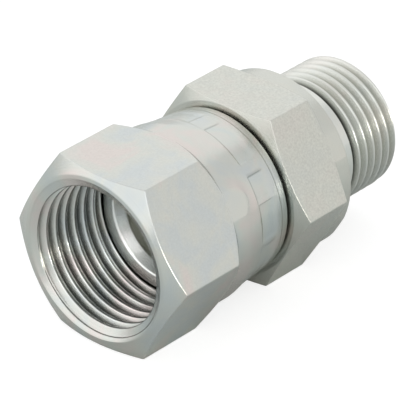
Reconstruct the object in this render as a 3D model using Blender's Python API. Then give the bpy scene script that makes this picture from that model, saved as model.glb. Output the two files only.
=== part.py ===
"""A straight hydraulic adapter: a 37 degree female swivel and a male parallel stud.

Two steel pieces share one axis, which runs along X from the mouth of the nut to the
end of the stud.  The swivel nut turns freely on the body, because its skirt is crimped
behind the shoulder of the body's head.  Both hexagons rest on a flat.  The origin is
on the surface that they rest on, under the middle of the adapter.

Angles about the axis start on the -Y side and rise over the top.
"""
import bmesh
import bpy
from math import ceil, cos, floor, pi, radians, sin, tan

MM = 0.001

# Steps of the round forms: a whole number of steps fits a hexagon's side and a jaw
ROUND_STEPS = 48
CORNER_STEPS = 4
JAW_STEPS = 6
MERGE_DISTANCE = 0.001 * MM
POINT_DECIMALS = 9

# Thread in the nut, 3/4-16 UNF
NUT_THREAD_RADIUS = 9.525 * MM
NUT_THREAD_PITCH = 1.5875 * MM
NUT_THREAD_HEIGHT = 0.5413
NUT_THREAD_ROOT = 0.125
NUT_THREAD_FLANK = radians(30.0)
NUT_THREAD_LENGTH = 10.6 * MM
NUT_THREAD_LEAD = 0.124 * MM

# Thread on the stud, G 3/8
STUD_THREAD_RADIUS = 8.331 * MM
STUD_THREAD_PITCH = 1.3368 * MM
STUD_THREAD_HEIGHT = 0.6403
STUD_THREAD_ROOT = 0.1667
STUD_THREAD_FLANK = radians(27.5)
STUD_THREAD_LEAD = 0.42 * MM

# How far a thread cutter reaches past the crests that it leaves, and any cutter past an end
THREAD_OVERCUT = 0.08 * MM
CUT_MARGIN = 1.0 * MM

# Hexagon that both pieces share, measured from the nut's thread
NUT_WALL = 1.475 * MM
HEX_CORNER_RADIUS = 0.25 * MM

# Swivel nut
NUT_FRONT_CHAMFER = radians(30.0)
MOUTH_CLEARANCE = 0.4 * MM
COUNTERSINK_ANGLE = radians(60.0)
NUT_FACE_INSET = 0.64 * MM
NUT_HEX_LENGTH = 10.2 * MM
NUT_REAR_CHAMFER = radians(45.0)
SKIRT_RISE = 0.13 * MM
SKIRT_LENGTH = 2.3 * MM
RELIEF_CLEARANCE = 0.225 * MM

# Crimped end of the nut's skirt
CRIMP_OFFSET = 0.75 * MM
CRIMP_DRAW = 0.45 * MM
CRIMP_WALL = 1.4 * MM
CRIMP_TAIL = 4.45 * MM
RIM_LENGTH = 1.2 * MM
RIM_DROP = 0.18 * MM
JAW_COUNT = 8
JAW_SPAN = radians(38.0)
JAW_TURN = radians(22.0)
JAW_LENGTH = 2.8 * MM
JAW_DEPTH = 0.15 * MM

# Head of the body, inside the nut
NOSE_STANDOFF = 0.35 * MM
NOSE_CLEARANCE = 0.42 * MM
NOSE_LENGTH = 1.2 * MM
NOSE_LAND = 1.2 * MM
NOSE_EDGE = 0.2 * MM
SEAT_ANGLE = radians(37.0)
SEAT_LENGTH = 1.25 * MM
HEAD_LENGTH = 3.8 * MM
HEAD_CLEARANCE = 0.4 * MM
SHOULDER_HEIGHT = 1.05 * MM
SHOULDER_PLAY = 0.7 * MM
NECK_CLEARANCE = 0.45 * MM

# Body behind the nut
SWIVEL_GAP = 0.3 * MM
BODY_HEX_LENGTH = 7.83 * MM
BODY_FACE_INSET = 0.15 * MM
BODY_FRONT_CHAMFER = radians(23.0)
BODY_REAR_CHAMFER = radians(16.0)
COLLAR_LENGTH = 2.42 * MM
COLLAR_RISE = 0.11 * MM
COLLAR_EDGE = 0.3 * MM
STUD_LENGTH = 12.0 * MM
STUD_WALL = 2.475 * MM
STUD_CHAMFER = 0.55 * MM
SHANK_LENGTH = 4.15 * MM
SHANK_STEP = 0.2 * MM
THREAD_RUN_OUT = 0.3 * MM
BORE_EDGE = 0.3 * MM
FRONT_BORE_LENGTH = 12.0 * MM
DRILL_ANGLE = radians(59.0)

# Radii, from the threads outward and inward
half_flats = NUT_THREAD_RADIUS + NUT_WALL
bar_radius = half_flats / cos(radians(30.0))
nut_minor = NUT_THREAD_RADIUS - NUT_THREAD_HEIGHT * NUT_THREAD_PITCH
mouth_radius = NUT_THREAD_RADIUS + MOUTH_CLEARANCE
nut_face_radius = half_flats - NUT_FACE_INSET
skirt_radius = half_flats + SKIRT_RISE
relief_bore = NUT_THREAD_RADIUS + RELIEF_CLEARANCE
head_radius = relief_bore - HEAD_CLEARANCE
neck_radius = head_radius - SHOULDER_HEIGHT
crimp_bore = neck_radius + NECK_CLEARANCE
crimp_end_radius = crimp_bore + CRIMP_WALL
nose_radius = nut_minor - NOSE_CLEARANCE
seat_radius = nose_radius - NOSE_LAND
front_bore = seat_radius - SEAT_LENGTH * tan(SEAT_ANGLE)
body_face_radius = half_flats - BODY_FACE_INSET
collar_radius = half_flats + COLLAR_RISE
stud_root = STUD_THREAD_RADIUS - STUD_THREAD_HEIGHT * STUD_THREAD_PITCH
shank_radius = STUD_THREAD_RADIUS - SHANK_STEP
stud_bore = stud_root - STUD_WALL

# Places along the axis, from the nut's mouth
nose_x = NUT_THREAD_LENGTH + NOSE_STANDOFF
head_x = nose_x + NOSE_LENGTH
shoulder_x = head_x + HEAD_LENGTH
crimp_cone_x = shoulder_x + SHOULDER_PLAY + head_radius - relief_bore
nut_rear_x = crimp_cone_x + relief_bore - crimp_bore + CRIMP_TAIL
body_face_x = nut_rear_x + SWIVEL_GAP
hex_rear_x = body_face_x + BODY_HEX_LENGTH
collar_rear_x = hex_rear_x + COLLAR_LENGTH
thread_x = collar_rear_x + SHANK_LENGTH
stud_end_x = collar_rear_x + STUD_LENGTH

MOUTH_POINT = (-stud_end_x / 2, 0.0, half_flats)


def on_axis(x, radius, angle):
    """The point at a distance along the axis, a radius and an angle from the -Y side."""
    across = round(-radius * cos(angle), POINT_DECIMALS)
    return (x, across, round(radius * sin(angle), POINT_DECIMALS))


def make_object(name, points, faces):
    """A closed mesh object whose origin is on the axis, in the plane of the nut's mouth."""
    mesh = bpy.data.meshes.new(name)
    mesh.from_pydata(points, [], faces)
    bm = bmesh.new()
    bm.from_mesh(mesh)
    bmesh.ops.remove_doubles(bm, verts=bm.verts, dist=MERGE_DISTANCE)
    bmesh.ops.dissolve_degenerate(bm, edges=bm.edges, dist=MERGE_DISTANCE)
    bmesh.ops.recalc_face_normals(bm, faces=bm.faces)
    bm.to_mesh(mesh)
    bm.free()
    item = bpy.data.objects.new(name, mesh)
    bpy.context.collection.objects.link(item)
    item.location = MOUTH_POINT
    return item


def turn(name, profile, start=0.0, span=2 * pi, steps=ROUND_STEPS):
    """Turns a closed (x, radius) outline about the axis, all round or through a span."""
    full = span >= 2 * pi
    rows = steps if full else steps + 1
    points = [on_axis(x, radius, start + span * row / steps) for row in range(rows) for x, radius in profile]
    count = len(profile)
    faces = []
    for row in range(steps):
        here = row * count
        there = (row + 1) % rows * count
        for k in range(count):
            after = (k + 1) % count
            faces.append((here + k, here + after, there + after, there + k))
    if not full:
        faces.append(tuple(range(count)))
        faces.append(tuple(range(steps * count, rows * count)))
    return make_object(name, points, faces)


def hex_bar(name, start_x, end_x):
    """A hexagonal bar with rounded corners, lying on a flat."""
    centre = (half_flats - HEX_CORNER_RADIUS) / cos(radians(30.0))
    outline = []
    for corner in range(6):
        middle = radians(60.0 * corner)
        for step in range(CORNER_STEPS + 1):
            turned = middle + radians(60.0) * (step / CORNER_STEPS - 0.5)
            along = centre * cos(middle) + HEX_CORNER_RADIUS * cos(turned)
            across = centre * sin(middle) + HEX_CORNER_RADIUS * sin(turned)
            outline.append((-along, across))
    count = len(outline)
    points = [(x, y, z) for x in (start_x, end_x) for y, z in outline]
    faces = [tuple(range(count)), tuple(range(count, 2 * count))]
    for k in range(count):
        after = (k + 1) % count
        faces.append((k, after, count + after, count + k))
    return make_object(name, points, faces)


class Thread:
    """A right-hand thread form: outer flats, inner flats and straight flanks between.

    Before a given place, where there is one, the grooves run out along a 45 degree cone.
    """

    def __init__(self, outer, inner, pitch, outer_flat, inner_flat, crest_x, run_out_x=None):
        self.outer = outer
        self.inner = inner
        self.pitch = pitch
        self.outer_flat = outer_flat
        self.inner_flat = inner_flat
        self.crest_x = crest_x
        self.run_out_x = run_out_x

    def radius(self, x, angle):
        """The thread's radius at a place along the axis, on the side at that angle."""
        turns = (x - self.crest_x) / self.pitch + angle / (2 * pi)
        from_crest = abs(turns - floor(turns + 0.5)) * self.pitch
        flank = (self.pitch - self.outer_flat - self.inner_flat) / 2
        down = min(max((from_crest - self.outer_flat / 2) / flank, 0.0), 1.0)
        radius = self.outer + down * (self.inner - self.outer)
        if self.run_out_x is None:
            return radius
        return max(radius, min(self.outer, self.inner + self.run_out_x - x))

    def side(self, angle, start_x, end_x):
        """The form's corners down one side, held between two planes."""
        corners = (-self.outer_flat / 2, self.outer_flat / 2,
                   (self.pitch - self.inner_flat) / 2, (self.pitch + self.inner_flat) / 2)
        first = floor((start_x - self.crest_x) / self.pitch) - 1
        last = ceil((end_x - self.crest_x) / self.pitch) + 2
        line = []
        for turn_number in range(first, last):
            for corner in corners:
                x = self.crest_x + (turn_number - angle / (2 * pi)) * self.pitch + corner
                x = min(max(x, start_x), end_x)
                line.append((x, self.radius(x, angle)))
        return line


def thread_cutter(name, thread, start_x, end_x, shell_radius=None):
    """A threaded bar, like a tap, or with a shell radius a threaded ring, like a die."""
    sides = [radians(360.0) * row / ROUND_STEPS for row in range(ROUND_STEPS + 1)]
    points = []
    for angle in sides:
        line = thread.side(angle, start_x, end_x)
        if shell_radius:
            line = line + [(end_x, shell_radius), (start_x, shell_radius)]
        points.extend(on_axis(x, radius, angle) for x, radius in line)
    count = len(line)
    joined = count if shell_radius else count - 1
    faces = []
    for row in range(ROUND_STEPS):
        here = row * count
        there = here + count
        for k in range(joined):
            after = (k + 1) % count
            faces.append((here + k, here + after, there + after, there + k))
    if not shell_radius:
        faces.append(tuple(row * count for row in range(ROUND_STEPS)))
        faces.append(tuple(row * count + count - 1 for row in range(ROUND_STEPS)))
    return make_object(name, points, faces)


def combine(item, operation, tools):
    """Cuts an item with each tool in turn, keeps the result as its mesh and clears the tools away."""
    for tool in tools:
        boolean = item.modifiers.new(tool.name, "BOOLEAN")
        boolean.operation = operation
        boolean.solver = "EXACT"
        boolean.object = tool
    cut = item.evaluated_get(bpy.context.evaluated_depsgraph_get())
    solid = bpy.data.meshes.new_from_object(cut)
    item.modifiers.clear()
    item.data = solid
    for tool in tools:
        bpy.data.objects.remove(tool, do_unlink=True)


def finish(item, colour, roughness):
    """Smooth round faces with sharp edges, and a plated steel material."""
    steel = bpy.data.materials.new(item.name)
    steel.use_nodes = True
    shader = steel.node_tree.nodes["Principled BSDF"]
    shader.inputs["Base Color"].default_value = colour
    shader.inputs["Metallic"].default_value = 1.0
    shader.inputs["Roughness"].default_value = roughness
    item.data.materials.append(steel)
    item.data.shade_smooth()
    item.data.set_sharp_from_angle(angle=radians(20.0))


def swivel_nut():
    """Hexagon nut with a countersunk mouth, a thread and a crimped skirt."""
    countersink = (mouth_radius - nut_minor) / tan(COUNTERSINK_ANGLE)
    front_chamfer = (bar_radius - nut_face_radius) * tan(NUT_FRONT_CHAMFER)
    rear_chamfer = (bar_radius - skirt_radius) * tan(NUT_REAR_CHAMFER)
    skirt_x = NUT_HEX_LENGTH + rear_chamfer
    jaw_x = shoulder_x + CRIMP_OFFSET
    jaw_radius = skirt_radius - CRIMP_DRAW
    rim_x = nut_rear_x - RIM_LENGTH
    rim_radius = crimp_end_radius + RIM_DROP
    nut = turn("swivel_nut", [
        (0.0, mouth_radius),
        (0.0, nut_face_radius),
        (front_chamfer, bar_radius),
        (NUT_HEX_LENGTH, bar_radius),
        (skirt_x, skirt_radius),
        (skirt_x + SKIRT_LENGTH, skirt_radius),
        (jaw_x, jaw_radius),
        (rim_x, rim_radius),
        (nut_rear_x, crimp_end_radius),
        (nut_rear_x, crimp_bore),
        (crimp_cone_x + relief_bore - crimp_bore, crimp_bore),
        (crimp_cone_x, relief_bore),
        (NUT_THREAD_LENGTH + relief_bore - nut_minor, relief_bore),
        (NUT_THREAD_LENGTH, nut_minor),
        (countersink, nut_minor),
    ])
    combine(nut, "INTERSECT", [hex_bar("nut_bar", -CUT_MARGIN, nut_rear_x + CUT_MARGIN)])
    middles = [JAW_TURN + 2 * pi * number / JAW_COUNT for number in range(JAW_COUNT)]
    jaws = [jaw(middle, jaw_x, jaw_radius, rim_x, rim_radius) for middle in middles]
    combine(nut, "DIFFERENCE", [nut_tap()] + jaws)
    finish(nut, (0.62, 0.63, 0.62, 1.0), 0.3)
    return nut


def nut_tap():
    """The tap that cuts the nut's thread, out past the mouth and into the relief."""
    height = NUT_THREAD_RADIUS - nut_minor + THREAD_OVERCUT
    root = NUT_THREAD_ROOT * NUT_THREAD_PITCH
    ridge = NUT_THREAD_PITCH - root - 2 * height * tan(NUT_THREAD_FLANK)
    form = Thread(NUT_THREAD_RADIUS, NUT_THREAD_RADIUS - height, NUT_THREAD_PITCH, root, ridge, NUT_THREAD_LEAD)
    return thread_cutter("nut_tap", form, -CUT_MARGIN, NUT_THREAD_LENGTH + relief_bore - nut_minor)


def jaw(middle, front_x, front_radius, rear_x, rear_radius):
    """One jaw of the crimping tool, which sinks a little into the tapered skirt."""
    slope = (rear_radius - front_radius) / (rear_x - front_x)
    back_radius = front_radius + slope * JAW_LENGTH
    return turn("jaw", [
        (front_x, front_radius - JAW_DEPTH),
        (front_x, bar_radius),
        (front_x + JAW_LENGTH, bar_radius),
        (front_x + JAW_LENGTH, back_radius - JAW_DEPTH),
    ], middle - JAW_SPAN / 2, JAW_SPAN, JAW_STEPS)


def fitting_body():
    """Turned body: seat and head in the nut, hexagon, sealing collar and threaded stud."""
    chamfer = (bar_radius - body_face_radius) * tan(BODY_FRONT_CHAMFER)
    rear_chamfer = (bar_radius - collar_radius) * tan(BODY_REAR_CHAMFER)
    step_x = nose_x + SEAT_LENGTH + FRONT_BORE_LENGTH
    cone = abs(front_bore - stud_bore) / tan(DRILL_ANGLE)
    body = turn("fitting_body", [
        (nose_x, seat_radius),
        (nose_x, nose_radius - NOSE_EDGE),
        (nose_x + NOSE_EDGE, nose_radius),
        (head_x, nose_radius),
        (head_x, head_radius),
        (shoulder_x, head_radius),
        (shoulder_x + SHOULDER_HEIGHT, neck_radius),
        (body_face_x, neck_radius),
        (body_face_x, body_face_radius),
        (body_face_x + chamfer, bar_radius),
        (hex_rear_x - rear_chamfer, bar_radius),
        (hex_rear_x, collar_radius),
        (collar_rear_x - COLLAR_EDGE, collar_radius),
        (collar_rear_x, collar_radius - COLLAR_EDGE),
        (collar_rear_x, shank_radius),
        (thread_x, shank_radius),
        (thread_x, STUD_THREAD_RADIUS),
        (stud_end_x - STUD_CHAMFER, STUD_THREAD_RADIUS),
        (stud_end_x, STUD_THREAD_RADIUS - STUD_CHAMFER),
        (stud_end_x, stud_bore + BORE_EDGE),
        (stud_end_x - BORE_EDGE, stud_bore),
        (step_x + cone, stud_bore),
        (step_x, front_bore),
        (nose_x + SEAT_LENGTH, front_bore),
    ])
    combine(body, "INTERSECT", [hex_bar("body_bar", nose_x - CUT_MARGIN, stud_end_x + CUT_MARGIN)])
    combine(body, "DIFFERENCE", [stud_die()])
    finish(body, (0.62, 0.63, 0.6, 1.0), 0.3)
    return body


def stud_die():
    """The die that cuts the stud's thread, which runs out into the shank."""
    height = STUD_THREAD_RADIUS - stud_root + THREAD_OVERCUT
    root = STUD_THREAD_ROOT * STUD_THREAD_PITCH
    crest = STUD_THREAD_PITCH - root - 2 * height * tan(STUD_THREAD_FLANK)
    crest_x = stud_end_x - STUD_THREAD_LEAD
    run_out_x = thread_x - THREAD_RUN_OUT
    form = Thread(stud_root + height, stud_root, STUD_THREAD_PITCH, crest, root, crest_x, run_out_x)
    return thread_cutter("stud_die", form, run_out_x - CUT_MARGIN, stud_end_x + CUT_MARGIN, collar_radius)


def main():
    for item in list(bpy.data.objects):
        bpy.data.objects.remove(item, do_unlink=True)
    axis = bpy.data.objects.new("swivel_axis", None)
    bpy.context.collection.objects.link(axis)
    axis.location = MOUTH_POINT
    fitting_body()
    nut = swivel_nut()
    nut.location = (0.0, 0.0, 0.0)
    nut.parent = axis


main()
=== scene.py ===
"""Looks of a straight hydraulic adapter: plated steel, fine threads and a crimped skirt.

Both pieces are lofted column by column round the shared axis, from the same sizes as
the solids.  Places along the axis are measured from the nut's mouth, and angles about
the axis start on the -Y side and rise over the top.
"""

from math import acos, atan, cos, floor, hypot, pi, radians, sin, sqrt, tan

import bmesh
import bpy
from mathutils import Matrix, Vector


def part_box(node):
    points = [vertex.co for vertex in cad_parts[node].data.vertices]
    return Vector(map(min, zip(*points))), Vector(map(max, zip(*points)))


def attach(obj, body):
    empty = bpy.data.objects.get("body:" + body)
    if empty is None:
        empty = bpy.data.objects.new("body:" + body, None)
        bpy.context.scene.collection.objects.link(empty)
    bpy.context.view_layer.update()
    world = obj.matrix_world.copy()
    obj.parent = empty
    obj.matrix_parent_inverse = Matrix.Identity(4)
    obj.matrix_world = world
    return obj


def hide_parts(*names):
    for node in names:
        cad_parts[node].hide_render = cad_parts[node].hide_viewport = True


MM = 0.001

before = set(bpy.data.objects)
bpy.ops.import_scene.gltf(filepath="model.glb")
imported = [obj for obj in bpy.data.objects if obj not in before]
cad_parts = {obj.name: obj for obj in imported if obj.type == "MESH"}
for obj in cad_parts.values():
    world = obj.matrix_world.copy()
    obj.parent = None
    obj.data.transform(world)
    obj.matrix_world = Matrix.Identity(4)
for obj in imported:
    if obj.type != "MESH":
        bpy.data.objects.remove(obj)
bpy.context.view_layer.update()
nut_low, nut_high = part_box("swivel_nut")
body_low, body_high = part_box("fitting_body")

# Sizes that the frame gives, with the flats a hair inside the solids' box
FLAT_MARGIN = 0.0001 * MM
mouth_x = nut_low.x
half_flats = (nut_high.z - nut_low.z) / 2 - FLAT_MARGIN
axis_z = (nut_high.z + nut_low.z) / 2
nut_rear_x = nut_high.x - mouth_x
nose_x = body_low.x - mouth_x
stud_end_x = body_high.x - mouth_x

# Hexagons
CORNER_TO_FLAT = radians(30.0)
CORNER_TO_CORNER = radians(60.0)
HEX_CORNER_RADIUS = 0.25 * MM
NUT_CHAMFER = radians(30.0)
BODY_FRONT_CHAMFER = radians(23.0)
BODY_REAR_CHAMFER = radians(16.0)

# Swivel nut
MOUTH_RADIUS = 9.925 * MM
MOUTH_START_X = 0.12 * MM
COUNTERSINK_ANGLE = radians(60.0)
NUT_FACE_RADIUS = 10.36 * MM
SKIRT_RADIUS = 11.13 * MM
SKIRT_X = 11.77 * MM
RELIEF_BORE = 9.75 * MM
CRIMP_BORE = 8.75 * MM
CRIMP_CONE_X = 16.25 * MM

# Thread in the nut, 3/4-16 UNF: the flats are shares of the pitch
NUT_THREAD_RADIUS = 9.525 * MM
NUT_THREAD_MINOR = 8.666 * MM
NUT_THREAD_MIDDLE = 9.1 * MM
NUT_THREAD_PITCH = 1.5875 * MM
NUT_THREAD_LENGTH = 10.82 * MM
NUT_THREAD_LEAD = 0.124 * MM
NUT_ROOT_FLAT = 0.125
NUT_CREST_FLAT = 0.25
NUT_THREAD_ROUNDING = 0.09 * MM

# Places past the nut's thread where its own points stop and the relief bore's begin
NUT_THREAD_STOP = 1.3 * MM
RELIEF_START = 1.4 * MM

# Crimped end of the skirt: places where the taper bends, and where its points are in
# millimetres, closest at the jaws' front edge and at the rim's step
TAPER = [
    (14.07 * MM, SKIRT_RADIUS), (16.7 * MM, 10.68 * MM),
    (20.5 * MM, 10.33 * MM), (21.7 * MM, 10.25 * MM),
]
BEND_REACH = 0.4 * MM
CRIMP_REACH = 0.45 * MM
CRIMP_PLACES = [
    14.6, 14.9, 15.2, 15.5, 15.8, 16.1, 16.35, 16.5, 16.58, 16.62, 16.66, 16.7, 16.74, 16.78,
    16.84, 17.0, 17.4, 17.9, 18.4, 18.7, 18.9, 19.1, 19.3, 19.5, 19.7, 19.9, 20.2, 20.4,
    20.47, 20.51, 20.55, 20.59, 20.63, 20.75, 21.0, 21.3,
]

# Jaws' impressions, struck twice: start and end in degrees, depth in hundredths of a
# millimetre, and how strong the painted shade is in the crease at each end
JAW_MARKS = [
    (-41.0, -8.0, 8, 0.04, 0.06), (-3.0, 21.0, 6, 0.08, 0.06), (22.0, 40.0, 9, 0.03, 0.42),
    (49.0, 81.0, 8, 0.08, 0.13), (94.0, 126.0, 7, 0.06, 0.08), (128.0, 134.0, 4, 0.04, 0.06),
    (139.0, 171.0, 8, 0.08, 0.20), (184.0, 204.0, 6, 0.06, 0.06), (205.0, 221.0, 9, 0.03, 0.30),
    (229.0, 261.0, 8, 0.08, 0.13), (274.0, 306.0, 7, 0.08, 0.06),
]
JAW_DEPTH_STEP = 0.01
JAW_FULL_DEPTH = 0.09 * MM
JAW_FRONT_X = 16.7 * MM
JAW_REAR_X = 19.3 * MM
JAW_EDGE = 0.12 * MM
JAW_FADE = 0.5 * MM
JAW_SIDE_DEGREES = 0.6
JAW_BLEND = radians(JAW_SIDE_DEGREES)

# Creases of the jaws: widths of the painted shade lines at the sides and at the front
SIDE_CREASE = (radians(0.2), radians(1.0))
FRONT_CREASE = (0.02 * MM, 0.12 * MM)
FRONT_CREASE_SHADE = 0.15
FRONT_CREASE_PROBE = 0.5 * MM
FRONT_CREASE_DEPTH = 0.08 * MM

# Raised lip before the jaws, and the step at the skirt's rim
LIP_HEIGHT = 0.02 * MM
LIP_X = JAW_FRONT_X - 0.3 * MM
LIP_WIDTH = 0.5 * MM
RIM_X = 20.55 * MM
RIM_STEP = 0.04 * MM
RIM_BLEND = 0.08 * MM

# Shallow dents before the jaws: each wave has a count round the skirt, a shift and a share
DENT_DEPTH = 0.05 * MM
DENT_RISE = (14.3 * MM, 15.4 * MM)
DENT_FALL = (16.2 * MM, 16.7 * MM)
DENT_WAVES = [(5, 1.4, 1.0), (9, -0.4, 0.6)]

# Body: its outline begins on the seat's cone, a little outside the cone's inner end
SEAT_RADIUS = 7.046 * MM
SEAT_LENGTH = 1.25 * MM
SEAT_START_X = 0.05 * MM
SEAT_START_RADIUS = 0.038 * MM
FRONT_BORE = 6.104 * MM
NOSE_RADIUS = 8.5 * MM
NOSE_LENGTH = 1.2 * MM
HEAD_RADIUS = 9.35 * MM
HEAD_LENGTH = 3.8 * MM
NECK_RADIUS = 8.3 * MM
BODY_FACE_X = 22.0 * MM
BODY_FACE_RADIUS = 10.85 * MM
HEX_REAR_X = 29.83 * MM
COLLAR_RADIUS = 11.11 * MM
COLLAR_REAR_X = 32.25 * MM
COLLAR_EDGE = 0.3 * MM
SHANK_RADIUS = 8.131 * MM
STUD_CHAMFER = 0.55 * MM
STUD_BORE = 5.0 * MM
BORE_CHAMFER = 0.3 * MM
BORE_STEP_X = 24.2 * MM
BORE_CONE = 0.66 * MM

# Thread on the stud, G 3/8: the flats are shares of the pitch
STUD_THREAD_RADIUS = 8.331 * MM
STUD_THREAD_ROOT = 7.475 * MM
STUD_THREAD_PITCH = 1.3368 * MM
STUD_THREAD_LEAD = 0.42 * MM
STUD_FLAT = 0.17
STUD_THREAD_ROUNDING = 0.12 * MM

# Run-out of the stud's thread: its points begin on the shank and end before the end face
THREAD_X = 36.4 * MM
THREAD_RUN_OUT_X = 36.1 * MM
THREAD_BLEND = 0.05 * MM
THREAD_START = 1.8 * MM
THREAD_STOP = 0.03 * MM
SHANK_NEAR = 0.2 * MM
SHANK_BLEND = 0.01 * MM
END_FACE_EDGE = 0.02 * MM

# Roundings of the edges, and of the places where two cuts meet
KEEN = 0.03 * MM
CRISP = 0.06 * MM
FINE = 0.08 * MM
SMALL = 0.1 * MM
PLAIN = 0.12 * MM
EASED = 0.15 * MM
SOFT = 0.2 * MM
WIDE = 0.3 * MM
FULL = 0.35 * MM
CUT_BLEND = 0.03 * MM

# Smoothness of the lofted meshes: the column angles are in degrees from a hexagon's
# corner, or from where a round part leaves a flat
COLUMN_STEP = radians(2.5)
COLUMN_GAP = radians(0.15)
CORNER_COLUMNS = (0.0, 0.2, 0.4, 0.567, 0.85, 1.4)
BAND_COLUMNS = (-0.4, 0.0, 0.4)
CORNER_STEPS = 3
THREAD_STEPS = 2
GUARD = 0.12 * MM
THREAD_GUARD = 0.3
MOST_ROUNDED = 0.45
MOST_GUARDED = 0.3
MERGE_DISTANCE = 0.001 * MM
BAR_MARGIN = 0.01 * MM

# Painted light on the nut: painted shade at the rim's step, at the skirt's foot under the
# hexagon's corners and in the thread's roots, and a painted highlight with polish on the crests
RIM_SHADE_WIDTH = (0.03 * MM, 0.12 * MM)
RIM_SHADE = 0.3
FOOT_SHADE_WIDTH = (0.02 * MM, 0.13 * MM)
FOOT_HEIGHT = (0.1 * MM, 0.8 * MM)
FOOT_SHADE = 0.6
NUT_THREADED_X = (0.8 * MM, 1.4 * MM)
NUT_ROOT_BAND = (8.85 * MM, 9.4 * MM)
NUT_ROOT_SHADE = 0.5
NUT_CREST_BAND = (8.7 * MM, 8.9 * MM)
NUT_BORE_POLISH_AND_HIGHLIGHT = 0.08
NUT_CREST_POLISH_AND_HIGHLIGHT = 0.3

# Painted light on the stud: painted shade in the first groove, on the side seen over the
# collar, faintly so in the others, and a painted highlight with polish on the crests
ROOT_BAND = (STUD_THREAD_ROOT, 8.15 * MM)
ROOT_MARGIN = 0.1 * MM
ROOT_SHADE = 0.12
FIRST_ROOT_SHADE = 0.88
FIRST_ROOT_X = 0.08 * MM
FIRST_ROOT_WIDTH = (0.45 * MM, 0.6 * MM)
FIRST_ROOT_SIDE = radians(30.0)
FIRST_ROOT_SPAN = (radians(100.0), radians(130.0))
CREST_BAND = (7.9 * MM, 8.15 * MM)
STUD_POLISH_AND_HIGHLIGHT = 0.1
CREST_POLISH_AND_HIGHLIGHT = 0.2

# Finish and painted light that the lofts write on their points and the plating reads
FINISH_AND_LIGHT = ("turned", "along", "pressed", "painted_shade", "polish_and_highlight")

# Plating: base colour, roughness, speckle on the flats and strength of the clouds, then
# what both platings share, with the clouds' hues by their places on the ramp
NUT_PLATING = ((0.65, 0.65, 0.628), 0.3, 0.04, 1.0)
BODY_PLATING = ((0.63, 0.635, 0.59), 0.31, 0.09, 0.3)
CLOUD_HUES = [
    (0.36, (0.92, 0.975, 1.005)), (0.5, (0.99, 1.012, 0.98)), (0.64, (1.055, 0.982, 0.965)),
]
NOISE_SPAN = (0.3, 0.7)
RINGS_PER_METRE = 4500.0
RING_STREAK = 0.08
PRESSED_TINT = (0.95, 0.985, 1.0, 1.0)
PRESSED_SHARE = 0.6
# Gain of the painted highlight on crests and the seat
PAINTED_HIGHLIGHT_GAIN = (1.5, 1.51, 1.6)
# Colour of the painted shade in creases and roots
PAINTED_SHADE_COLOR = (0.05, 0.055, 0.045, 1.0)
MOTTLE_BELOW = 0.025
MOTTLE_ABOVE = 0.03
TURNED_ROUGHNESS = -0.08
POLISHED_ROUGHNESS = -0.03
TURNED_STRETCH = 0.7
ALONG_RINGS = 0.25

# Floor: what the camera sees, and what the steel reflects, with painted shade near the fitting
# and paler beyond
FLOOR_SIZE = 6.0
FLOOR_LIT = (0.95, 0.96, 0.96, 1.0)
FLOOR_GLOW = 1.2
FLOOR_GLOW_SHARE = 0.62
FLOOR_NEAR_SHADE = (0.54, 0.565, 0.56, 1.0)
FLOOR_FAR = (0.69, 0.72, 0.71, 1.0)
FLOOR_NEAR_DISTANCE = 0.012
FLOOR_FAR_DISTANCE = 0.06

# Camera, as the photograph was taken
CAMERA_AZIMUTH = radians(-49.733)
CAMERA_ELEVATION = radians(30.247)
CAMERA_ROLL = radians(1.04)
CAMERA_DISTANCE = 453.02 * MM
CAMERA_RIGHT = 12.716 * MM
CAMERA_UP = 5.984 * MM
CAMERA_LENS = 351.31

# Light: the room, and panels with azimuth and elevation in degrees, distance and size in
# metres, power in watts and colour
WHITE = (1.0, 1.0, 1.0)
ROOM_STRENGTH = 0.82
PANELS = {
    "back_panel": (150.0, 42.0, 1.0, (2.2, 1.4), 2.3, WHITE),
    "left_panel": (-114.0, 17.0, 1.0, (1.5, 1.0), 1.9, WHITE),
    "front_panel": (-17.0, 10.0, 0.9, (0.25, 0.25), 1.6, (1.0, 0.96, 0.88)),
    "side_panel": (43.0, 12.0, 1.0, (0.7, 0.6), 0.1, (1.0, 0.86, 0.68)),
    "mouth_panel": (-54.0, 33.0, 1.0, (0.8, 0.5), 0.9, WHITE),
}


def smooth_step(low, high, value):
    """0 below low, 1 above high, and a smooth rise between."""
    share = min(max((value - low) / (high - low), 0.0), 1.0)
    return share * share * (3 - 2 * share)


def near(full, none, distance):
    """1 within the distance full, 0 beyond the distance none, and a smooth fall between."""
    return 1 - smooth_step(full, none, abs(distance))


def larger(a, b, blend=CUT_BLEND):
    """The larger of two radii, with a small rounding where they meet."""
    return (a + b + sqrt((a - b) ** 2 + blend ** 2)) / 2


def smaller(a, b, blend=CUT_BLEND):
    """The smaller of two radii, with a small rounding where they meet."""
    return (a + b - sqrt((a - b) ** 2 + blend ** 2)) / 2


def hex_radius(angle):
    """Radius of the hexagon with rounded corners, on the side at that angle."""
    centre = (half_flats - HEX_CORNER_RADIUS) / cos(CORNER_TO_FLAT)
    from_corner = abs((angle + CORNER_TO_FLAT) % CORNER_TO_CORNER - CORNER_TO_FLAT)
    tangent = atan(HEX_CORNER_RADIUS * sin(CORNER_TO_FLAT)
                   / (centre + HEX_CORNER_RADIUS * cos(CORNER_TO_FLAT)))
    if from_corner < tangent:
        rise = sqrt(HEX_CORNER_RADIUS ** 2 - (centre * sin(from_corner)) ** 2)
        return centre * cos(from_corner) + rise
    return half_flats / cos(CORNER_TO_FLAT - from_corner)


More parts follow.
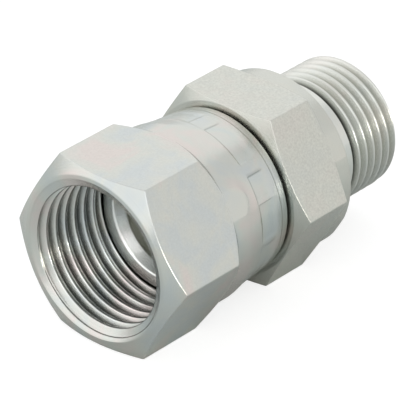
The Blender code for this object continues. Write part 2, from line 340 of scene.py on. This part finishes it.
def rounded(corners, steps=CORNER_STEPS, guard=GUARD):
    """An outline's points: each inner corner (x, radius, rounding) becomes a short curve.

    Two guard points on each stretch keep the shading of its flat part flat.
    """
    curves = [[corners[0][:2]]]
    for before, corner, after in zip(corners, corners[1:], corners[2:]):
        ends = []
        for other in (before, after):
            length = hypot(other[0] - corner[0], other[1] - corner[1])
            share = min(corner[2] / length, MOST_ROUNDED) if length > MERGE_DISTANCE else 0.0
            ends.append([corner[k] + share * (other[k] - corner[k]) for k in (0, 1)])
        curve = []
        for step in range(steps + 1):
            t = step / steps
            curve.append(tuple(
                (1 - t) ** 2 * ends[0][k] + 2 * t * (1 - t) * corner[k] + t * t * ends[1][k]
                for k in (0, 1)))
        curves.append(curve)
    curves.append([corners[-1][:2]])
    points = list(curves[0])
    for first, second in zip(curves, curves[1:]):
        a, b = first[-1], second[0]
        length = hypot(b[0] - a[0], b[1] - a[1])
        share = min(guard / length, MOST_GUARDED) if length > MERGE_DISTANCE else MOST_GUARDED
        points.append(tuple(a[k] + share * (b[k] - a[k]) for k in (0, 1)))
        points.append(tuple(b[k] + share * (a[k] - b[k]) for k in (0, 1)))
        points.extend(second)
    return points


class Thread:
    """A right-hand thread form with rounded crests and roots.

    Its outline also has a place at one extra radius on each flank.
    """

    def __init__(self, outer, inner, pitch, outer_flat, inner_flat, rounding, crest_x,
                 extra_radius):
        self.pitch = pitch
        self.crest_x = crest_x
        flank = (pitch - outer_flat - inner_flat) / 2
        extra = outer_flat / 2 + flank * (outer - extra_radius) / (outer - inner)
        corners = [
            (-pitch / 2, inner, 0),
            (-outer_flat / 2 - flank, inner, rounding),
            (-extra, extra_radius, 0),
            (-outer_flat / 2, outer, rounding),
            (outer_flat / 2, outer, rounding),
            (extra, extra_radius, 0),
            (outer_flat / 2 + flank, inner, rounding),
            (pitch / 2, inner, 0),
        ]
        self.form = rounded(corners, steps=THREAD_STEPS, guard=THREAD_GUARD * flank)[:-1]

    def radius(self, x, angle):
        """The thread's radius at a place along the axis, on the side at that angle."""
        turns = (x - self.crest_x) / self.pitch + angle / (2 * pi)
        place = (turns - floor(turns + 0.5)) * self.pitch
        before = self.form[-1][0] - self.pitch, self.form[-1][1]
        for point in self.form + [(self.form[0][0] + self.pitch, self.form[0][1])]:
            if place <= point[0]:
                share = (place - before[0]) / (point[0] - before[0])
                return before[1] + share * (point[1] - before[1])
            before = point
        return before[1]

    def places(self, angle, start_x, end_x):
        """The form's places along one side, held between two planes.

        Every side has the same number of them, so turns are added at both ends.
        """
        first = floor((start_x - self.crest_x) / self.pitch) - 1
        last = floor((end_x - self.crest_x) / self.pitch) + 3
        found = []
        for turn in range(first, last):
            middle = self.crest_x + (turn - angle / (2 * pi)) * self.pitch
            found.extend(min(max(middle + place, start_x), end_x) for place, _ in self.form)
        return found


def column_angles(extra):
    """Angles of the mesh's columns: even steps, each hexagon corner's arc, and extra ones."""
    wanted = [k * COLUMN_STEP for k in range(round(2 * pi / COLUMN_STEP))]
    for corner in range(6):
        for offset in CORNER_COLUMNS:
            wanted += [radians(60.0 * corner + offset), radians(60.0 * corner - offset)]
    kept = []
    for angle in [angle % (2 * pi) for angle in extra + wanted]:
        gap = min((abs(around(angle, other)) for other in kept), default=pi)
        if gap > COLUMN_GAP:
            kept.append(angle)
    return sorted(kept)


def band_angles(radius):
    """Angles where a round part, a little wider than the flats, meets them, and beside there."""
    half = acos(half_flats / radius)
    middles = [radians(60.0 * flat + 30.0) for flat in range(6)]
    offsets = [half + radians(step) for step in BAND_COLUMNS]
    return [middle + way * offset for middle in middles for offset in offsets for way in (-1, 1)]


def loft(name, outline, marks_and_light, angles):
    """A closed mesh through an outline's columns: each point is (x, radius, turned).

    The function passed in gives how pressed a place is, its painted shade, and its polish
    with painted highlight.
    """
    mesh = bpy.data.meshes.new(name)
    bm = bmesh.new()
    layers = [bm.verts.layers.float.new(kind) for kind in FINISH_AND_LIGHT]
    columns = []
    for angle in angles + [angles[0] + 2 * pi]:
        column = []
        length = 0.0
        before = None
        for x, radius, turned in outline(angle):
            if before:
                length += hypot(x - before[0], radius - before[1])
            before = (x, radius)
            vert = bm.verts.new((mouth_x + x, -radius * cos(angle), axis_z + radius * sin(angle)))
            for layer, value in zip(layers, (turned, length, *marks_and_light(x, radius, angle))):
                vert[layer] = value
            column.append(vert)
        columns.append(column)
    count = len(columns[0])
    for here, there in zip(columns, columns[1:]):
        for k in range(count):
            after = (k + 1) % count
            bm.faces.new((here[k], there[k], there[after], here[after]))
    bmesh.ops.remove_doubles(bm, verts=bm.verts, dist=MERGE_DISTANCE)
    bmesh.ops.dissolve_degenerate(bm, edges=bm.edges, dist=MERGE_DISTANCE)
    bmesh.ops.recalc_face_normals(bm, faces=bm.faces)
    bm.to_mesh(mesh)
    bm.free()
    mesh.shade_smooth()
    piece = bpy.data.objects.new(name, mesh)
    bpy.context.scene.collection.objects.link(piece)
    return piece


def marked(points, start_x=0.0, end_x=0.0):
    """Points with their finish: 0 where the surface is drawn bar, between two places, else 1."""
    return [(x, radius, 0 if start_x < x < end_x else 1) for x, radius in points]


def around(angle, middle):
    """Angle from the middle to a side, from minus to plus half a turn."""
    return (angle - middle + pi) % (2 * pi) - pi


def taper_radius(x):
    """Radius of the skirt's crimped end, before the jaws' impressions."""
    for (x0, r0), (x1, r1) in zip(TAPER, TAPER[1:]):
        if x <= x1:
            break
    return r0 + (r1 - r0) * (x - x0) / (x1 - x0)


def jaw_reach(x):
    """Share of the jaws' depth at a place along the axis."""
    front = smooth_step(JAW_FRONT_X - JAW_EDGE, JAW_FRONT_X + JAW_EDGE, x)
    return front * (1 - smooth_step(JAW_REAR_X - JAW_FADE, JAW_REAR_X + JAW_FADE, x))


def jaw_depth(x, angle):
    """How far the crimping jaws have pressed the skirt in at a place."""
    depth = 0.0
    for start, end, hundredths, *_ in JAW_MARKS:
        half = radians((end - start) / 2)
        offset = around(angle, radians((start + end) / 2))
        inside = near(half - JAW_BLEND, half + JAW_BLEND, offset)
        depth = max(depth, hundredths * JAW_DEPTH_STEP * MM * inside)
    return depth * jaw_reach(x)


def jaw_crease_shade(x, angle):
    """How strong the painted shade in the jaws' creases is at a place."""
    dark = 0.0
    for start, end, _, first, last in JAW_MARKS:
        for side, strength in ((start, first), (end, last)):
            dark = max(dark, strength * near(*SIDE_CREASE, around(angle, radians(side))))
    # Painted shade also along the jaws' front edge, where they pressed in deep enough
    front = near(*FRONT_CREASE, x - JAW_FRONT_X)
    behind = jaw_depth(JAW_FRONT_X + FRONT_CREASE_PROBE, angle)
    inside = smooth_step(0.0, FRONT_CREASE_DEPTH, behind)
    return max(dark * jaw_reach(x), FRONT_CREASE_SHADE * front * inside)


def skirt_surface(x, angle):
    """Radius of the crimped skirt, with the lip and dents before the jaws and the rim's step."""
    lip = LIP_HEIGHT * near(0.0, LIP_WIDTH, x - LIP_X)
    step = RIM_STEP * smooth_step(RIM_X - RIM_BLEND, RIM_X + RIM_BLEND, x)
    dents = smooth_step(*DENT_RISE, x) * (1 - smooth_step(*DENT_FALL, x))
    waves = sum(share * sin(count * angle + shift) for count, shift, share in DENT_WAVES)
    return taper_radius(x) + lip + DENT_DEPTH * dents * waves - jaw_depth(x, angle) - step


NUT_THREAD = Thread(
    NUT_THREAD_RADIUS, NUT_THREAD_MINOR, NUT_THREAD_PITCH, NUT_ROOT_FLAT * NUT_THREAD_PITCH,
    NUT_CREST_FLAT * NUT_THREAD_PITCH, NUT_THREAD_ROUNDING, NUT_THREAD_LEAD, NUT_THREAD_MIDDLE)


def nut_bore(x, angle):
    """Radius inside the nut: countersink, thread and relief."""
    countersink = MOUTH_RADIUS - x * tan(COUNTERSINK_ANGLE)
    relief = min(NUT_THREAD_MINOR + (x - NUT_THREAD_LENGTH), RELIEF_BORE)
    cut = larger(NUT_THREAD.radius(x, angle), countersink)
    return larger(cut, relief)


def nut_marks_and_painted_light(x, radius, angle):
    """Pressing, painted shade, and polish with painted highlight on the nut's end, outside and
    bore.
    """
    if x > CRIMP_CONE_X and radius > RELIEF_BORE:
        # Painted shade in the jaws' creases and at the rim's step
        painted_shade = max(jaw_crease_shade(x, angle), near(*RIM_SHADE_WIDTH, x - RIM_X) * RIM_SHADE)
        return jaw_depth(x, angle) / JAW_FULL_DEPTH, painted_shade, 0.0
    if radius > RELIEF_BORE:
        # Painted shade at the skirt's foot, strongest under the hexagon's corners
        foot = near(*FOOT_SHADE_WIDTH, x - SKIRT_X)
        height = smooth_step(*FOOT_HEIGHT, hex_radius(angle) - SKIRT_RADIUS)
        return 0.0, FOOT_SHADE * foot * height, 0.0
    # Painted shade in the thread's roots, and a painted highlight with polish on the crests and
    # faintly over the bore
    threaded = smooth_step(*NUT_THREADED_X, x)
    crest = 1 - smooth_step(*NUT_CREST_BAND, radius)
    painted_shade = NUT_ROOT_SHADE * smooth_step(*NUT_ROOT_BAND, radius) * threaded
    return 0.0, painted_shade, NUT_BORE_POLISH_AND_HIGHLIGHT + NUT_CREST_POLISH_AND_HIGHLIGHT * crest * threaded


def nut_outline(angle):
    """The nut's outline on one side: from the countersink over the outside to the bore."""
    hexagon = hex_radius(angle)
    skirt = min(SKIRT_RADIUS, hexagon)
    front_x = (hexagon - NUT_FACE_RADIUS) * tan(NUT_CHAMFER)
    shoulder_x = SKIRT_X - max(hexagon - SKIRT_RADIUS, 0.0)
    (x0, r0), (x1, r1) = TAPER[:2]
    end_x = x0 + (x1 - x0) * (r0 - skirt) / (r0 - r1)
    outside = rounded([
        (MOUTH_START_X, nut_bore(MOUTH_START_X, angle), 0),
        (0.0, MOUTH_RADIUS, KEEN),
        (0.0, NUT_FACE_RADIUS, PLAIN),
        (front_x, hexagon, PLAIN),
        (shoulder_x, hexagon, EASED),
        (SKIRT_X, skirt, SOFT),
        (end_x, skirt, WIDE),
        (end_x + BEND_REACH, taper_radius(end_x + BEND_REACH), 0),
    ])
    points = marked(outside[:-2], front_x + BAR_MARGIN, shoulder_x - BAR_MARGIN)
    crimp_x = [max(place * MM, end_x + CRIMP_REACH) for place in CRIMP_PLACES]
    points += [(x, skirt_surface(x, angle), 1) for x in crimp_x]
    rear = rounded([
        (crimp_x[-1], skirt_surface(crimp_x[-1], angle), 0),
        (nut_rear_x, taper_radius(nut_rear_x) - RIM_STEP, FULL),
        (nut_rear_x, CRIMP_BORE, PLAIN),
        (CRIMP_CONE_X + RELIEF_BORE - CRIMP_BORE, CRIMP_BORE, EASED),
        (CRIMP_CONE_X, RELIEF_BORE, EASED),
        (NUT_THREAD_LENGTH + RELIEF_START, RELIEF_BORE, 0),
    ])
    points += marked(rear[1:])
    places = NUT_THREAD.places(angle, MOUTH_START_X, NUT_THREAD_LENGTH + NUT_THREAD_STOP)
    points += [(x, nut_bore(x, angle), 1) for x in reversed(places)]
    return points


STUD_THREAD = Thread(
    STUD_THREAD_RADIUS, STUD_THREAD_ROOT, STUD_THREAD_PITCH, STUD_FLAT * STUD_THREAD_PITCH,
    STUD_FLAT * STUD_THREAD_PITCH, STUD_THREAD_ROUNDING, stud_end_x - STUD_THREAD_LEAD,
    SHANK_RADIUS)


def stud_surface(x, angle):
    """Radius of the stud: plain shank, the thread that runs out into it, and end chamfer."""
    begun = smooth_step(THREAD_X - THREAD_BLEND, THREAD_X + THREAD_BLEND, x)
    blank = SHANK_RADIUS + (STUD_THREAD_RADIUS - SHANK_RADIUS) * begun
    run_out = STUD_THREAD_ROOT + THREAD_RUN_OUT_X - x
    chamfer = STUD_THREAD_RADIUS - (x - stud_end_x + STUD_CHAMFER)
    thread = STUD_THREAD.radius(x, angle)
    if run_out > STUD_THREAD_ROOT:
        thread = larger(thread, run_out)
    if thread > blank - SHANK_NEAR:
        thread = smaller(thread, blank, SHANK_BLEND)
    return smaller(thread, chamfer)


def body_polish_and_painted_light(x, radius, angle):
    """Painted shade in the roots, most in the first; polish and painted highlight on nose and
    crests.
    """
    # A painted highlight with polish on the seat's cone
    if x < nose_x + NOSE_LENGTH and FRONT_BORE < radius < NOSE_RADIUS:
        return 0.0, 0.0, 1.0
    if x < COLLAR_REAR_X or radius < STUD_THREAD_ROOT - ROOT_MARGIN:
        return 0.0, 0.0, 0.0
    # Painted shade in the roots, strongest in the first groove, and a painted highlight with
    # polish on the crests
    side = (angle + radians(90.0)) % (2 * pi) - radians(90.0)
    root_x = THREAD_X + FIRST_ROOT_X - side / (2 * pi) * STUD_THREAD_PITCH
    first = near(*FIRST_ROOT_WIDTH, x - root_x) * near(*FIRST_ROOT_SPAN, side - FIRST_ROOT_SIDE)
    deep = 1 - smooth_step(*ROOT_BAND, radius)
    crest = smooth_step(*CREST_BAND, radius)
    return 0.0, deep * (ROOT_SHADE + FIRST_ROOT_SHADE * first), STUD_POLISH_AND_HIGHLIGHT + CREST_POLISH_AND_HIGHLIGHT * crest


def body_outline(angle):
    """The body's outline on one side: from the seat over the outside and back up the bore."""
    hexagon = hex_radius(angle)
    front_x = BODY_FACE_X + (hexagon - BODY_FACE_RADIUS) * tan(BODY_FRONT_CHAMFER)
    rear_x = HEX_REAR_X - max(hexagon - COLLAR_RADIUS, 0.0) * tan(BODY_REAR_CHAMFER)
    collar = min(COLLAR_RADIUS, hexagon)
    edge_x = COLLAR_REAR_X - COLLAR_EDGE + COLLAR_RADIUS - collar
    head_x = nose_x + NOSE_LENGTH
    head_rear_x = head_x + HEAD_LENGTH
    thread_start_x = THREAD_X - THREAD_START
    outside = rounded([
        (nose_x + SEAT_LENGTH - SEAT_START_X, FRONT_BORE + SEAT_START_RADIUS, 0),
        (nose_x, SEAT_RADIUS, SOFT),
        (nose_x, NOSE_RADIUS, PLAIN),
        (head_x, NOSE_RADIUS, SOFT),
        (head_x, HEAD_RADIUS, SOFT),
        (head_rear_x, HEAD_RADIUS, SOFT),
        (head_rear_x + HEAD_RADIUS - NECK_RADIUS, NECK_RADIUS, SOFT),
        (BODY_FACE_X, NECK_RADIUS, SOFT),
        (BODY_FACE_X, BODY_FACE_RADIUS, CRISP),
        (front_x, hexagon, CRISP),
        (rear_x, hexagon, PLAIN),
        (HEX_REAR_X, collar, KEEN),
        (edge_x, collar, FINE),
        (COLLAR_REAR_X, COLLAR_RADIUS - COLLAR_EDGE, FINE),
        (COLLAR_REAR_X, SHANK_RADIUS, WIDE),
        (thread_start_x, SHANK_RADIUS, 0),
    ])
    points = marked(outside[:-1], front_x + BAR_MARGIN, rear_x - BAR_MARGIN)
    places = STUD_THREAD.places(angle, thread_start_x, stud_end_x - THREAD_STOP)
    points += [(x, stud_surface(x, angle), 1) for x in places]
    points += marked(rounded([
        (stud_end_x, stud_surface(stud_end_x, angle) - END_FACE_EDGE, 0),
        (stud_end_x, STUD_BORE + BORE_CHAMFER, FINE),
        (stud_end_x - BORE_CHAMFER, STUD_BORE, FINE),
        (BORE_STEP_X + BORE_CONE, STUD_BORE, SMALL),
        (BORE_STEP_X, FRONT_BORE, SMALL),
        (nose_x + SEAT_LENGTH, FRONT_BORE, 0),
    ]))
    return points


def feed(tree, socket, source):
    """Link an output to a socket, or set the socket's value."""
    if isinstance(source, bpy.types.NodeSocket):
        tree.links.new(source, socket)
    else:
        socket.default_value = source


def add_node(tree, kind, place, inputs=None, **settings):
    """A shader node with its settings, and with inputs by name or number linked or set."""
    node = tree.nodes.new(kind)
    node.location = place
    for name, value in settings.items():
        setattr(node, name, value)
    for name, source in (inputs or {}).items():
        feed(tree, node.inputs[name], source)
    return node


def add_range(tree, place, value, to_span, from_span=(0.0, 1.0)):
    """A value mapped from one span to another."""
    return add_node(tree, "ShaderNodeMapRange", place, {
        "Value": value, "From Min": from_span[0], "From Max": from_span[1],
        "To Min": to_span[0], "To Max": to_span[1],
    }).outputs["Result"]


def add_math(tree, place, operation, *sources):
    """The result of an operation on numbers, each linked or set."""
    node = add_node(tree, "ShaderNodeMath", place, dict(enumerate(sources)), operation=operation)
    return node.outputs[0]


def add_product(tree, place, first, second):
    """The product of two colours."""
    sources = {0: first, 1: second}
    node = add_node(tree, "ShaderNodeVectorMath", place, sources, operation="MULTIPLY")
    return node.outputs["Vector"]


def add_mix(tree, place, factor, first, second, **settings):
    """A mix of two colours, or of two numbers where the settings say so."""
    settings.setdefault("data_type", "RGBA")
    sources = {"Factor": factor, "A": first, "B": second}
    return add_node(tree, "ShaderNodeMix", place, sources, **settings).outputs["Result"]


def plated_steel(name, tint, roughness, speckle, cloudy):
    """Satin zinc plating on steel: turning marks on turned faces, fine speckle on bar flats."""
    material = bpy.data.materials.new(name)
    material.use_nodes = True
    tree = material.node_tree
    places = add_node(tree, "ShaderNodeTexCoord", (-1700, 0)).outputs["Object"]
    finish = {}
    for number, kind in enumerate(FINISH_AND_LIGHT):
        corner = (-1700, 300 - 200 * number)
        node = add_node(tree, "ShaderNodeAttribute", corner, attribute_name=kind)
        finish[kind] = node.outputs["Fac"]

    # Slow clouds of blue and pink in the plating
    clouds = add_node(tree, "ShaderNodeTexNoise", (-1400, 500), {
        "Vector": places, "Scale": 170.0, "Detail": 3.0, "Roughness": 0.55, "Distortion": 0.6})
    tints = add_node(tree, "ShaderNodeValToRGB", (-1150, 500), {"Fac": clouds.outputs["Fac"]})
    elements = tints.color_ramp.elements
    elements.new(0.5)
    for element, (place, hue) in zip(elements, CLOUD_HUES):
        element.position = place
        element.color = [tint[k] * (1 + cloudy * (hue[k] - 1)) for k in range(3)] + [1.0]

    # Fine speckle on the bar flats, and on turned faces the rings that a tool leaves
    grain = add_node(tree, "ShaderNodeTexNoise", (-1400, 150), {
        "Vector": places, "Scale": 4200.0, "Detail": 2.0, "Roughness": 0.6}).outputs["Fac"]
    flecks = add_range(tree, (-1150, 150), grain, (1.0 - speckle, 1.0 + speckle), NOISE_SPAN)
    spread = add_math(tree, (-1550, -450), "MULTIPLY", finish["along"], RINGS_PER_METRE)
    rings = add_node(tree, "ShaderNodeTexNoise", (-1400, -450), {
        "W": spread, "Detail": 3.0, "Roughness": 0.65}, noise_dimensions="1D").outputs["Fac"]
    streaks = add_range(tree, (-1150, -50), rings, (1.0 - RING_STREAK, 1.0 + RING_STREAK),
                        NOISE_SPAN)
    marks = add_mix(tree, (-900, 150), finish["turned"], flecks, streaks, data_type="FLOAT")
    base = add_product(tree, (-700, 400), tints.outputs["Color"], marks)

    # Bluish where the jaws pressed, painted highlight on crests and the seat, painted shade in
    # creases and roots
    pressed = add_math(tree, (-700, 200), "MULTIPLY", finish["pressed"], PRESSED_SHARE)
    color = add_mix(tree, (-500, 400), pressed, base, PRESSED_TINT, blend_type="MULTIPLY")
    # Painted highlight: a brighter copy of the base colour
    painted_highlight_color = add_product(tree, (-600, 700), base, PAINTED_HIGHLIGHT_GAIN)
    color = add_mix(tree, (-400, 600), finish["polish_and_highlight"], color, painted_highlight_color)
    # Painted shade in creases and roots
    color = add_mix(tree, (-300, 400), finish["painted_shade"], color, PAINTED_SHADE_COLOR)

    # Roughness varies in small patches, and is less on turned faces and on faces given polish
    mottle = add_node(tree, "ShaderNodeTexNoise", (-1400, -150), {
        "Vector": places, "Scale": 900.0, "Detail": 4.0, "Roughness": 0.6}).outputs["Fac"]
    gloss = add_range(tree, (-1150, -150), mottle,
                      (roughness - MOTTLE_BELOW, roughness + MOTTLE_ABOVE))
    gloss = add_math(tree, (-900, -150), "MULTIPLY_ADD",
                     finish["turned"], TURNED_ROUGHNESS, gloss)
    gloss = add_math(tree, (-700, -150), "MULTIPLY_ADD",
                     finish["polish_and_highlight"], POLISHED_ROUGHNESS, gloss)

    # Reflections on turned faces stretch across the rings, and the marks stand up a little
    height = add_mix(tree, (-850, -450), finish["turned"], grain, rings, data_type="FLOAT")
    bump = add_node(tree, "ShaderNodeBump", (-500, -300), {
        "Strength": 0.35, "Distance": 0.00002, "Height": height})
    tangent = add_node(tree, "ShaderNodeTangent", (-500, -600), direction_type="RADIAL", axis="X")
    stretch = add_math(tree, (-500, -100), "MULTIPLY", finish["turned"], TURNED_STRETCH)
    shader = tree.nodes["Principled BSDF"]
    for socket, source in {
        "Metallic": 1.0,
        "Base Color": color,
        "Roughness": gloss,
        "Normal": bump.outputs["Normal"],
        "Tangent": tangent.outputs["Tangent"],
        "Anisotropic": stretch,
        "Anisotropic Rotation": ALONG_RINGS,
    }.items():
        feed(tree, shader.inputs[socket], source)
    return material


def build_nut():
    """The swivel nut, with columns on each jaw's edge and where a flat leaves the skirt."""
    extra = band_angles(SKIRT_RADIUS)
    for start, end, *_ in JAW_MARKS:
        for offset in (-JAW_SIDE_DEGREES, 0.0, JAW_SIDE_DEGREES):
            extra += [radians(start + offset), radians(end + offset)]
    nut = loft("nut_shell", nut_outline, nut_marks_and_painted_light, column_angles(extra))
    nut.data.materials.append(plated_steel("nut_plating", *NUT_PLATING))
    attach(nut, "nut")
    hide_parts("swivel_nut")


def build_body():
    """The turned body with its hexagon, collar and threaded stud."""
    body = loft("body_shell", body_outline, body_polish_and_painted_light, column_angles(band_angles(COLLAR_RADIUS)))
    body.data.materials.append(plated_steel("body_plating", *BODY_PLATING))
    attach(body, "body")
    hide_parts("fitting_body")


def build_floor():
    """A wide pale floor that reads white to the camera and keeps the object's shadow."""
    bpy.ops.mesh.primitive_plane_add(size=FLOOR_SIZE)
    floor = bpy.context.object
    floor.name = "floor"
    material = bpy.data.materials.new("floor_paper")
    material.use_nodes = True
    tree = material.node_tree
    tree.nodes.clear()
    lit = add_node(tree, "ShaderNodeBsdfDiffuse", (0, 200), {"Color": FLOOR_LIT})
    glow = add_node(tree, "ShaderNodeEmission", (0, 0), {
        "Color": (*WHITE, 1.0), "Strength": FLOOR_GLOW})
    seen = add_node(tree, "ShaderNodeMixShader", (200, 100), {
        0: FLOOR_GLOW_SHARE, 1: lit.outputs[0], 2: glow.outputs[0]})
    # What the steel reflects: painted shade near the fitting, fading to a paler floor beyond
    coords = add_node(tree, "ShaderNodeTexCoord", (-800, -200))
    distance = add_node(tree, "ShaderNodeVectorMath", (-600, -200), {0: coords.outputs["Object"]},
                        operation="LENGTH")
    beyond = add_range(tree, (-400, -200), distance.outputs["Value"], (0.0, 1.0),
                       (FLOOR_NEAR_DISTANCE, FLOOR_FAR_DISTANCE))
    pale = add_mix(tree, (-200, -200), beyond, FLOOR_NEAR_SHADE, FLOOR_FAR)
    unseen = add_node(tree, "ShaderNodeBsdfDiffuse", (0, -200), {"Color": pale})
    path = add_node(tree, "ShaderNodeLightPath", (200, 300))
    mix = add_node(tree, "ShaderNodeMixShader", (400, 0), {
        0: path.outputs["Is Camera Ray"], 1: unseen.outputs[0], 2: seen.outputs[0]})
    add_node(tree, "ShaderNodeOutputMaterial", (600, 0), {"Surface": mix.outputs[0]})
    floor.data.materials.append(material)


def way_to(azimuth, elevation):
    """The direction from the object to a place round it."""
    return Vector((sin(azimuth) * cos(elevation), -cos(azimuth) * cos(elevation), sin(elevation)))


def build_camera():
    """The camera, placed beside a line through the middle of the nut's mouth."""
    back = way_to(CAMERA_AZIMUTH, CAMERA_ELEVATION)
    right = Vector((0.0, 0.0, 1.0)).cross(back).normalized()
    up = back.cross(right)
    turned_right = cos(CAMERA_ROLL) * right + sin(CAMERA_ROLL) * up
    turned_up = cos(CAMERA_ROLL) * up - sin(CAMERA_ROLL) * right
    mouth = Vector((mouth_x, 0.0, axis_z))
    place = mouth + back * CAMERA_DISTANCE + turned_right * CAMERA_RIGHT + turned_up * CAMERA_UP
    data = bpy.data.cameras.new("camera")
    data.lens = CAMERA_LENS
    camera = bpy.data.objects.new("camera", data)
    bpy.context.scene.collection.objects.link(camera)
    turn = Matrix((turned_right, turned_up, back)).transposed()
    camera.matrix_world = Matrix.Translation(place) @ turn.to_4x4()
    bpy.context.scene.camera = camera


def add_panel(name, azimuth, elevation, distance, size, power, color):
    """A soft light panel that faces the object."""
    way = way_to(radians(azimuth), radians(elevation))
    data = bpy.data.lights.new(name, "AREA")
    data.shape = "RECTANGLE"
    data.size, data.size_y = size
    data.energy = power
    data.color = color
    panel = bpy.data.objects.new(name, data)
    bpy.context.scene.collection.objects.link(panel)
    panel.location = Vector((0.0, 0.0, axis_z)) + way * distance
    panel.rotation_euler = way.to_track_quat("Z", "Y").to_euler()


def build_light():
    """A pale room with a soft panel for each side that the steel mirrors."""
    world = bpy.data.worlds.new("room")
    bpy.context.scene.world = world
    world.use_nodes = True
    background = world.node_tree.nodes["Background"]
    background.inputs["Color"].default_value = (*WHITE, 1.0)
    background.inputs["Strength"].default_value = ROOM_STRENGTH
    for name, values in PANELS.items():
        add_panel(name, *values)


build_nut()
build_body()
build_floor()
build_camera()
build_light()

bpy.context.scene.view_settings.view_transform = "Standard"
